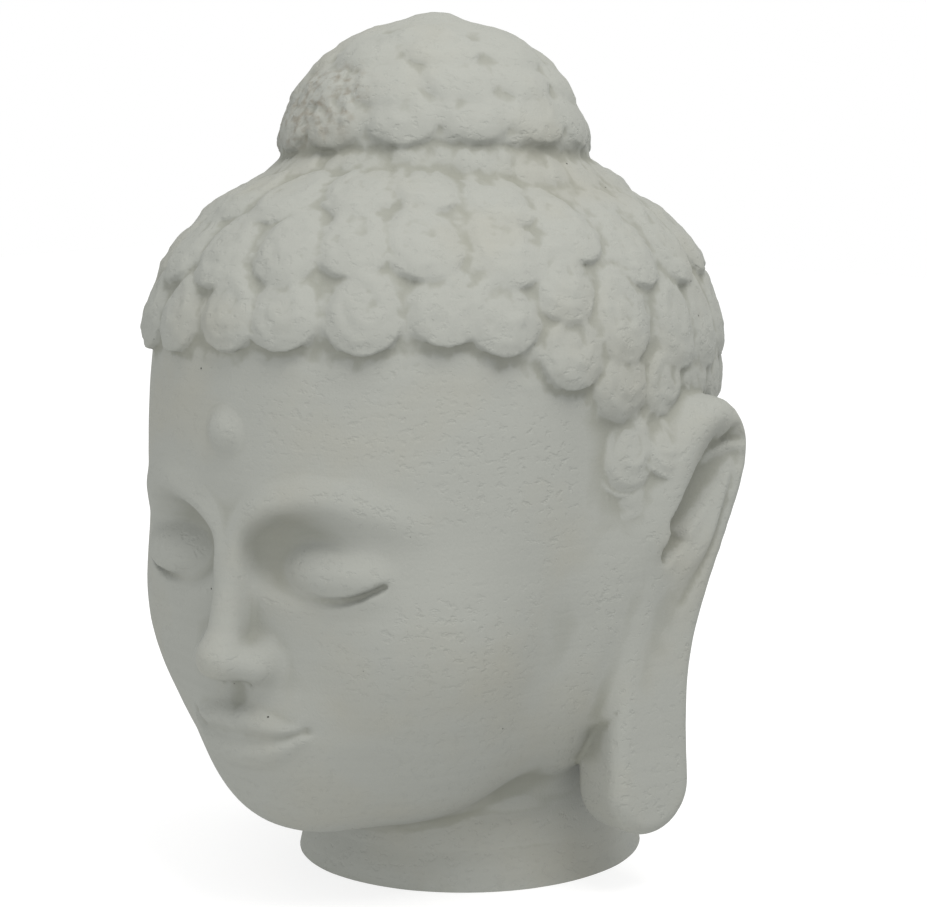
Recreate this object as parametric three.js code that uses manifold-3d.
// Stone buddha head: one block of cast stone, carved as a head on a short neck that is cut flat below.
// Millimetres. Up is +Z, the face looks along -Y, and the origin is the middle of the flat underside.
import * as THREE from 'three';
import { mergeVertices } from 'three/addons/utils/BufferGeometryUtils.js';
import Module from 'manifold-3d';

const wasm = await Module();
wasm.setup();

const vec = (x, y, z) => new THREE.Vector3(x, y, z);
const { PI, sin, cos, atan2, hypot, max, min, abs } = Math;
const rad = THREE.MathUtils.degToRad;
const ramp = THREE.MathUtils.smoothstep;

// ---------- driving dimensions ----------
const HEIGHT = 500;                                   // underside to the top of the topknot
const SKULL = { centre: vec(0, -31, 306), side: 150.5, depth: 178.5, rise: 118.5, fall: 232, crown: 2.12 };
const SKULL_TRIM = { level: 105, slope: 0.25, join: 50 };   // trimmed below, from the chin up to the nape
const HAIR_DEPTH = 3;                                 // the hair's own thickness below its curls
const HAIR_STEP = { low: 12, high: 24 };              // where it thickens, above its edge
const KNOT = { centre: vec(0, -34, 408), radius: 87, bulge: 1.9, step: 3.5, join: 12, root: 30 };
const KNOT_FOOT = { level: 417.5, sway: 9, high: rad(42) };   // its foot runs a little higher on one side
const NECK = { radius: 97, lip: 5, top: 180, depth: 1.05, sides: 36 };
const HAIRLINE = 318;
const CHIN = 50;

// The face follows the three equal thirds of the drawing books.
const THIRD = (HAIRLINE - CHIN) / 3;
const BROW = HAIRLINE - THIRD;
const NOSE = CHIN + THIRD;
const EYE_LINE = BROW - 0.28 * THIRD;
const MOUTH = NOSE - THIRD / 3;
const URNA = { centre: vec(0, -207, 276), radius: 10, depth: 6 };

// The broad masses of the face, each joined softly to those before it. Radii are across, deep and high.
const FACE_MASSES = [
  { centre: vec(0, -84, 204), radii: [129, 118, 158], join: 44 },    // the long oval
  { centre: vec(0, -98, 118), radii: [97, 90, 70], join: 50 },       // jaw
  { centre: vec(64, -130, 166), radii: [50, 46, 52], join: 34 },     // cheek
  { centre: vec(0, -156, 77), radii: [38, 29, 27], join: 34 },       // chin
];
const SOCKET = { shift: vec(-1, -13, 6), radii: [44, 23.5, 26], join: 8 };      // both from the eye's middle
const LID = { shift: vec(-3, 33, -3), radii: [42, 36, 25], join: 4 };
const NOSE_TIP = { centre: vec(0, -214, NOSE + 13), radii: [15, 14.5, 12.5], join: 8 };
const NOSE_WING = { centre: vec(17, -200, NOSE + 11), radii: [11.5, 17, 12.5], join: 7 };
const MUZZLE = { centre: vec(0, -166, MOUTH + 3), radii: [44, 31, 32], join: 26 };
const FACE_BACK = -100;                               // features lie in front of this
const EAR_ROOT = { centre: vec(132, -2, 226), radii: [26, 34, 52], join: 20 };   // the swell behind the ear
const WEB_JOIN = 46;

const EAR = { front: vec(150, -30, 0), turn: rad(15), face: 4, lobeHalf: 18.5, topHalf: 9 };
const EAR_EDGE = { plan: 9, flat: 8 };                // how far its rounded edge reaches in, each way

const CURL = { radius: 18, height: 7.5, rim: 2.5, peg: 12, sides: 5, tilt: rad(8) };
const KNOT_CURL = 0.5;                                // thickness of a curl on the knot, beside the others
const KNOT_RISE = HEIGHT - CURL.height * KNOT_CURL - KNOT.step - KNOT.centre.z;
const FACET_PROUD = 2;                                // corners of facets stand out, as their middles lie in
const RING_SINK = 45;                                 // how far a ring drops from the brow to behind the ears
const ASKEW = 4.5;                                    // the hair sits this much higher over one brow
// One row of curls a line: its height over the brow, curls all the way round, and the angle from the
// front where it starts.
const RINGS = [
  { level: 339, curls: 27, from: 0, sink: RING_SINK },
  { level: 374, curls: 24, from: 0, sink: RING_SINK },
  { level: 400, curls: 20, from: 0, sink: 28 },
  { level: 414, curls: 16, from: 0, sink: 6 },
  { level: 306, curls: 27, from: 92, sink: RING_SINK },
  { level: 268, curls: 26, from: 108, sink: RING_SINK },
  { level: 232, curls: 24, from: 114, sink: RING_SINK },
  { level: 198, curls: 21, from: 122, sink: RING_SINK },
];
// Curls at the temple, lapping on to the ear's root: degrees from the front, and height.
const TEMPLE_CURLS = [[82, 262], [90.5, 263], [81, 240]];
const KNOT_RINGS = [
  { rise: 20, curls: 13 },
  { rise: 43, curls: 11 },
  { rise: 59, curls: 8 },
  { rise: 68, curls: 5 },
];

const BLOCK_HEART = vec(0, -50, 185);                 // every surface of the head can be seen from here
// Grids of the balls that are carved: columns and rows. The head's is denser round the front and the face.
const HEAD_GRID = { columns: 38, rows: 28 };
const KNOT_GRID = { columns: 13, rows: 7 };
const EAR_GRID = { columns: 18, rows: 16 };
const FRONT_CROWDING = 0.55;
const FACE_CROWDING = 0.08;

// ---------- soft joins between solids, each a signed distance ----------
function softMin(a, b, width) {
  const h = max(width - abs(a - b), 0) / width;
  return min(a, b) - h * h * width / 4;
}

const softMax = (a, b, width) => -softMin(-a, -b, width);

function ellipsoid(p, centre, [rx, ry, rz]) {
  const x = p.x - centre.x;
  const y = p.y - centre.y;
  const z = p.z - centre.z;
  const k = hypot(x / rx, y / ry, z / rz);
  const slope = hypot(x / rx ** 2, y / ry ** 2, z / rz ** 2);
  return k * (k - 1) / max(slope, 1e-9);
}

// A round cord whose thickness changes along a smooth curve through a few knots [x, y, z, radius].
function cord(knots, spans = 4) {
  const path = new THREE.CatmullRomCurve3(knots.map(([x, y, z]) => vec(x, y, z)), false, 'catmullrom', 0.5);
  const last = knots.length - 1;
  const steps = last * spans;
  const points = [];
  for (let i = 0; i <= steps; i++) {
    const t = i / steps;
    const knot = min(Math.floor(t * last), last - 1);
    const radius = THREE.MathUtils.lerp(knots[knot][3], knots[knot + 1][3], t * last - knot);
    points.push({ at: path.getPoint(t), radius });
  }
  const stretch = vec(0, 0, 0);
  const reach = vec(0, 0, 0);
  return (p) => {
    let nearest = Infinity;
    for (let i = 0; i < steps; i++) {
      const a = points[i];
      const b = points[i + 1];
      stretch.subVectors(b.at, a.at);
      reach.subVectors(p, a.at);
      const t = THREE.MathUtils.clamp(reach.dot(stretch) / stretch.lengthSq(), 0, 1);
      const away = reach.addScaledVector(stretch, -t).length();
      nearest = min(nearest, away - THREE.MathUtils.lerp(a.radius, b.radius, t));
    }
    return nearest;
  };
}

// ---------- the head ----------
// An egg, a little fuller than an ellipsoid towards the crown.
function skull(p) {
  const over = p.z > SKULL.centre.z;
  const up = over ? SKULL.rise : SKULL.fall;
  const bulge = over ? SKULL.crown : 2;
  const x = (p.x - SKULL.centre.x) / SKULL.side;
  const y = (p.y - SKULL.centre.y) / SKULL.depth;
  const z = (p.z - SKULL.centre.z) / up;
  const k = (hypot(x, y) ** bulge + abs(z) ** bulge) ** (1 / bulge);
  const slope = hypot(x / SKULL.side, y / SKULL.depth, z / up) / max(hypot(x, y, z), 1e-9);
  const egg = (k - 1) / max(slope, 1e-9);
  return softMax(egg, SKULL_TRIM.level - p.z + SKULL_TRIM.slope * p.y, SKULL_TRIM.join);
}

// The height of the hair's edge, by degrees from the front: level over the brow, low at the nape.
const hairEdge = new THREE.LinearInterpolant([45, 60, 90, 105, 120], [308, 294, 262, 180, 118], 1);

function topknot(p) {
  const away = hypot(p.x - KNOT.centre.x, p.y - KNOT.centre.y);
  const over = p.z - KNOT.centre.z;
  const k = (max(away / KNOT.radius, 1e-6) ** KNOT.bulge
    + (max(over, 0) / KNOT_RISE) ** KNOT.bulge) ** (1 / KNOT.bulge);
  return max((k - 1) * KNOT_RISE, -over - KNOT.root);
}

const footLevel = (turn) => KNOT_FOOT.level + KNOT_FOOT.sway * cos(turn - KNOT_FOOT.high);

// The knot's own block: a step wider than the knot, and cut off level at its foot.
function knotCap(p) {
  const turn = atan2(p.x, KNOT.centre.y - p.y);
  return softMax(topknot(p) - KNOT.step, footLevel(turn) - p.z, 4);
}

// The hair before its curls: the skull sweeps up into the knot.
function hairForm(p) {
  const round = THREE.MathUtils.radToDeg(abs(atan2(p.x, SKULL.centre.y - p.y)));
  const [edge] = hairEdge.evaluate(round);
  const depth = HAIR_DEPTH * ramp(p.z, edge + HAIR_STEP.low, edge + HAIR_STEP.high);
  return softMin(skull(p) - depth, topknot(p), KNOT.join);
}

const added = (d, p, { centre, radii, join }) => softMin(d, ellipsoid(p, centre, radii), join);
const faceMask = (p) => FACE_MASSES.reduce((d, mass) => added(d, p, mass), skull(p));

// The point in front of a form at (x, z), standing proud of it by so much, or inside it when negative.
function standOn(form, x, z, proud) {
  const p = vec(x, -80, z);
  for (let step = 0; step < 60; step++) {
    p.y += 0.8 * form(p);
  }
  return [x, p.y - proud, z];
}

// A cord along the face, from knots [x, z, radius, proud].
function cordOn(form, knots) {
  return cord(knots.map(([x, z, radius, proud]) => [...standOn(form, x, z, proud), radius]));
}

const muzzle = (p) => added(faceMask(p), p, MUZZLE);
const browRidge = cordOn(faceMask, [[5, BROW - 22, 4, -3], [30, BROW + 8, 6, -5], [52, BROW + 13, 6, -5.5],
  [74, BROW + 9, 6, -7], [90, BROW + 1, 5, -9]]);
const EYE = vec(...standOn(faceMask, 54, EYE_LINE, 0));
const noseRidge = cord([[0, -199, BROW - 2, 9], [0, -206, EYE_LINE, 9.5], [0, -214, NOSE + 15, 13]]);
const upperLip = cordOn(muzzle, [[0, MOUTH + 7, 7.5, -2], [20, MOUTH + 6, 6.8, -2],
  [40, MOUTH + 2.5, 2, -2]]);
const lowerLip = cordOn(muzzle, [[0, MOUTH - 10, 10, -4], [20, MOUTH - 7.5, 8, -3.5],
  [37, MOUTH + 0.5, 2.5, -2]]);

function faceFeatures(p, mask) {
  let d = softMin(mask, browRidge(p), 14);
  d = softMax(d, -ellipsoid(p, EYE.clone().add(SOCKET.shift), SOCKET.radii), SOCKET.join);
  d = softMin(d, ellipsoid(p, EYE.clone().add(LID.shift), LID.radii), LID.join);
  const nose = added(added(noseRidge(p), p, NOSE_TIP), p, NOSE_WING);
  d = softMin(d, nose, 8);
  d = added(d, p, MUZZLE);
  d = softMin(d, upperLip(p), 4);
  d = softMin(d, lowerLip(p), 5);
  return softMin(d, ellipsoid(p, URNA.centre, [URNA.radius, URNA.depth, URNA.radius]), 2);
}

// the web of stone that ties the lobe to the cheek
const lobeWeb = cord([[134, -24, 246, 13], [132, -32, 215, 16], [127, -42, 180, 17], [122, -48, 152, 17],
  [116, -50, 128, 16], [109, -47, 106, 13], [105, -42, 90, 9]]);
const sideSwell = (s, d) => softMin(added(d, s, EAR_ROOT), lobeWeb(s), WEB_JOIN);

function headForm(p) {
  const s = vec(abs(p.x), p.y, p.z);
  let d = faceMask(s);
  if (s.y < FACE_BACK) {
    d = faceFeatures(s, d);
  }
  return softMin(sideSwell(s, d), hairForm(p), 1);
}

const scalp = (p) => sideSwell(vec(abs(p.x), p.y, p.z), hairForm(p));

// ---------- the ear, in its own frame: u from front to back, v up, w outwards ----------
const earBlade = cord([[35, 249, 0, 37.5], [30, 218, 0, 31], [18, 178, 0, 26], [8, 145, 0, 26],
  [3, 110, 0, 27.5], [3, 66, 0, 29]]);
const helix = cord([[3, 211, 1, 9], [8, 238, 2, 10.5], [22, 262, 2, 11], [44, 275, 1, 10], [61, 263, 0, 7.5],
  [60, 241, 0, 6], [50, 215, -1, 5.5], [38, 190, -1.5, 5.5], [27, 165, -3, 5]]);
const trough = cord([[60, 250, 9, 5], [50, 247, 9, 6.5], [41, 241, 8.5, 7]]);
const hollow = cord([[45, 248, 8, 7], [35, 239, 8, 10.5], [24, 228, 8, 10.5], [13, 217, 9, 9]]);
const innerFold = cord([[58, 246, 0, 4], [51, 228, 0, 6.5], [37, 206, 0.5, 8], [22, 192, 0, 7.5],
  [8, 178, -1, 4]]);
const rimGroove = cord([[63, 258, 7, 2], [56, 233, 6.5, 2.4], [45, 206, 6.5, 2.4], [33, 186, 6.5, 2.2],
  [20, 170, 6, 1.6]]);
const notch = cord([[13, 208, 8, 7.5], [7, 204, 8, 6], [5, 198, 9, 3.5]], 2);
const tragus = cord([[-5, 212, -1, 6], [-9, 182, -3, 4.5]], 2);

function earForm(q) {
  const half = EAR.lobeHalf - (EAR.lobeHalf - EAR.topHalf) * ramp(q.y, 90, 170);
  const outline = earBlade(vec(q.x, q.y, 0)) + EAR_EDGE.plan;
  const thickness = abs(q.z - (EAR.face - half)) - half + EAR_EDGE.flat;
  const rounded = (EAR_EDGE.plan + EAR_EDGE.flat) / 2;
  let d = min(max(outline, thickness), 0) + hypot(max(outline, 0), max(thickness, 0)) - rounded;
  d = softMin(d, helix(q), 5);
  d = softMax(d, -trough(q), 6);
  d = softMin(d, innerFold(q), 4);
  d = softMax(d, -hollow(q), 3);
  d = softMax(d, -rimGroove(q), 2.5);
  d = softMax(d, -notch(q), 2.5);
  return softMin(d, tragus(q), 6);
}

// ---------- carving: the points of a ball slide out from inside until they reach the form ----------
function slideOut(form, start, heading, proud = 0) {
  const p = start.clone();
  for (let step = 0; step < 80; step++) {
    const depth = form(p) - proud;
    if (abs(depth) < 0.01) {
      break;
    }
    p.addScaledVector(heading, -0.85 * depth);
  }
  return p;
}

function carve(ball, form, startOf) {
  const points = ball.attributes.position;
  for (let i = 0; i < points.count; i++) {
    const direction = vec(points.getX(i), points.getY(i), points.getZ(i)).normalize();
    const p = slideOut(form, startOf(direction), direction, FACET_PROUD);
    points.setXYZ(i, p.x, p.y, p.z);
  }
  return solidOf(ball);
}

function solidOf(geometry) {
  const shell = geometry.index ? geometry : geometry.clone();
  shell.deleteAttribute('normal');
  shell.deleteAttribute('uv');
  const welded = mergeVertices(shell, 1e-4);
  return new wasm.Manifold(new wasm.Mesh({
    numProp: 3,
    vertProperties: Float32Array.from(welded.attributes.position.array),
    triVerts: Uint32Array.from(welded.index.array),
  }));
}

// A ball whose meridians stand closer together in front, and whose rings stand closer together at the
// height of the face, than they do over the hair.
function headBall(columns, rows) {
  const ball = new THREE.SphereGeometry(1, columns, rows);
  const points = ball.attributes.position;
  for (let i = 0; i < points.count; i++) {
    const around = PI * (2 * (i % (columns + 1)) / columns - 1);
    const down = Math.floor(i / (columns + 1)) / rows;
    const turn = around - FRONT_CROWDING * sin(around);
    const fall = PI * (down + FACE_CROWDING * sin(2 * PI * down));
    const out = down === 0 || down === 1 ? 0 : sin(fall);
    points.setXYZ(i, out * sin(turn), -out * cos(turn), cos(fall));
  }
  return ball;
}

function turnedNeck() {
  const outline = [
    [0, 0],
    [NECK.radius + NECK.lip, 0],
    [NECK.radius + NECK.lip / 2, 18],
    [NECK.radius, 45],
    [NECK.radius, 90],
    [NECK.radius + NECK.lip, NECK.top],
    [0, NECK.top],
  ];
  const turned = new THREE.LatheGeometry(outline.map(([r, z]) => new THREE.Vector2(r, z)), NECK.sides);
  turned.rotateX(PI / 2);
  turned.scale(1, NECK.depth, 1);
  return solidOf(turned);
}

function carvedHead() {
  return carve(headBall(HEAD_GRID.columns, HEAD_GRID.rows), headForm, () => BLOCK_HEART);
}

function carvedKnot() {
  const ball = new THREE.SphereGeometry(1, KNOT_GRID.columns, KNOT_GRID.rows);
  ball.rotateX(PI / 2);
  return carve(ball, knotCap, () => vec(KNOT.centre.x, KNOT.centre.y, KNOT_FOOT.level + KNOT_FOOT.sway + 6));
}

const earSpine = new THREE.CatmullRomCurve3([
  vec(40, 256, -9),
  vec(29, 218, -9.5),
  vec(17, 178, -8),
  vec(8, 145, -9),
  vec(3, 110, -13),
  vec(3, 62, -13),
]);

function carvedEar() {
  const ball = new THREE.SphereGeometry(1, EAR_GRID.columns, EAR_GRID.rows);
  const onSpine = (direction) => earSpine.getPoint((1 - direction.y) / 2);
  const solid = carve(ball, earForm, onSpine);
  // from the ear's frame to the head's: u runs back, v up and w outwards
  return placed(solid, EAR.front, [
    vec(sin(EAR.turn), cos(EAR.turn), 0),
    vec(0, 0, 1),
    vec(cos(EAR.turn), -sin(EAR.turn), 0),
  ]);
}

function placed(solid, at, axes) {
  const matrix = new THREE.Matrix4().makeBasis(...axes).setPosition(at);
  return solid.transform(matrix.elements);
}

// ---------- hair ----------
// One curl is a low cap on a blunt peg, and the peg is sunk in the head.
function curlStud() {
  const outline = [
    new THREE.Vector2(0, -CURL.peg),
    new THREE.Vector2(CURL.radius, CURL.rim),
    new THREE.Vector2(0, CURL.height),
  ];
  const stud = new THREE.LatheGeometry(outline, CURL.sides);
  stud.rotateX(PI / 2);
  return solidOf(stud);
}

function outwards(form, p) {
  const h = 0.5;
  return vec(
    form(vec(p.x + h, p.y, p.z)) - form(vec(p.x - h, p.y, p.z)),
    form(vec(p.x, p.y + h, p.z)) - form(vec(p.x, p.y - h, p.z)),
    form(vec(p.x, p.y, p.z + h)) - form(vec(p.x, p.y, p.z - h)),
  ).normalize();
}

// One curl lying on the form: its lower edge stands a little further out than its upper one.
function curlOn(stud, form, p, thickness) {
  const out = outwards(form, p);
  const along = vec(0, 0, 1).cross(out).normalize();
  const up = out.clone().cross(along);
  const lean = out.clone().applyAxisAngle(along, -CURL.tilt);
  up.applyAxisAngle(along, -CURL.tilt);
  return placed(stud.scale([1, 1, thickness]), p, [along, up, lean]);
}

// One row of curls: for each turn round the head, levelAt gives its height, or null where there is none.
function rowOfCurls(stud, form, centre, row, count, thickness, levelAt) {
  const curls = [];
  for (let n = 0; n < count; n++) {
    const turn = rad(360 / count) * (n + 0.5 * (row % 2));
    const level = levelAt(turn);
    if (level !== null) {
      const p = slideOut(form, vec(centre.x, centre.y, level), vec(sin(turn), -cos(turn), 0), FACET_PROUD);
      curls.push(curlOn(stud, form, p, thickness));
    }
  }
  return curls;
}

function headCurls(stud) {
  return RINGS.flatMap((ring, row) => rowOfCurls(stud, hairForm, SKULL.centre, row, ring.curls, 1, (turn) => {
    const round = turn > PI ? 2 * PI - turn : turn;
    const askew = round < PI / 2 ? ASKEW * sin(2 * turn) : 0;
    return round < rad(ring.from) ? null : ring.level + askew - ring.sink * ramp(round, rad(45), rad(90));
  }));
}

function templeCurls(stud) {
  return TEMPLE_CURLS.map(([degrees, level]) => {
    const heading = vec(sin(rad(degrees)), -cos(rad(degrees)), 0);
    const p = slideOut(scalp, vec(SKULL.centre.x, SKULL.centre.y, level), heading, FACET_PROUD);
    return curlOn(stud, scalp, p, 1);
  });
}

function knotCurls(stud) {
  const top = KNOT_RINGS.at(-1).rise;
  const rows = KNOT_RINGS.flatMap(({ rise, curls }, row) => rowOfCurls(stud, knotCap, KNOT.centre, row, curls,
    KNOT_CURL, (turn) => KNOT_FOOT.level + rise + (footLevel(turn) - KNOT_FOOT.level) * (1 - rise / top)));
  const crown = vec(KNOT.centre.x, KNOT.centre.y, HEIGHT - CURL.height * KNOT_CURL);
  const upright = [vec(1, 0, 0), vec(0, 1, 0), vec(0, 0, 1)];
  return [...rows, placed(stud.scale([1, 1, KNOT_CURL]), crown, upright)];
}

// ---------- the block ----------
function buddhaHead() {
  const ear = carvedEar();
  const stud = curlStud();
  const carved = [carvedHead(), turnedNeck(), carvedKnot(), ear, ear.mirror([1, 0, 0])];
  const temple = templeCurls(stud);
  const otherTemple = temple.map((curl) => curl.mirror([1, 0, 0]));
  const pieces = [...carved, ...headCurls(stud), ...temple, ...otherTemple, ...knotCurls(stud)];
  const bodies = wasm.Manifold.union(pieces).decompose();
  const block = bodies.reduce((a, b) => (a.volume() > b.volume() ? a : b));
  const whole = block.getMesh();
  const geometry = new THREE.BufferGeometry();
  geometry.setAttribute('position', new THREE.BufferAttribute(Float32Array.from(whole.vertProperties), 3));
  geometry.setIndex(new THREE.BufferAttribute(Uint32Array.from(whole.triVerts), 1));
  geometry.computeVertexNormals();
  return geometry;
}

const stone = new THREE.MeshStandardMaterial({ color: 0xb3b5ac, roughness: 0.95, metalness: 0 });
const head = new THREE.Mesh(buddhaHead(), stone);
head.name = 'buddha_head';

const object = new THREE.Group();
object.add(head);

export default object;
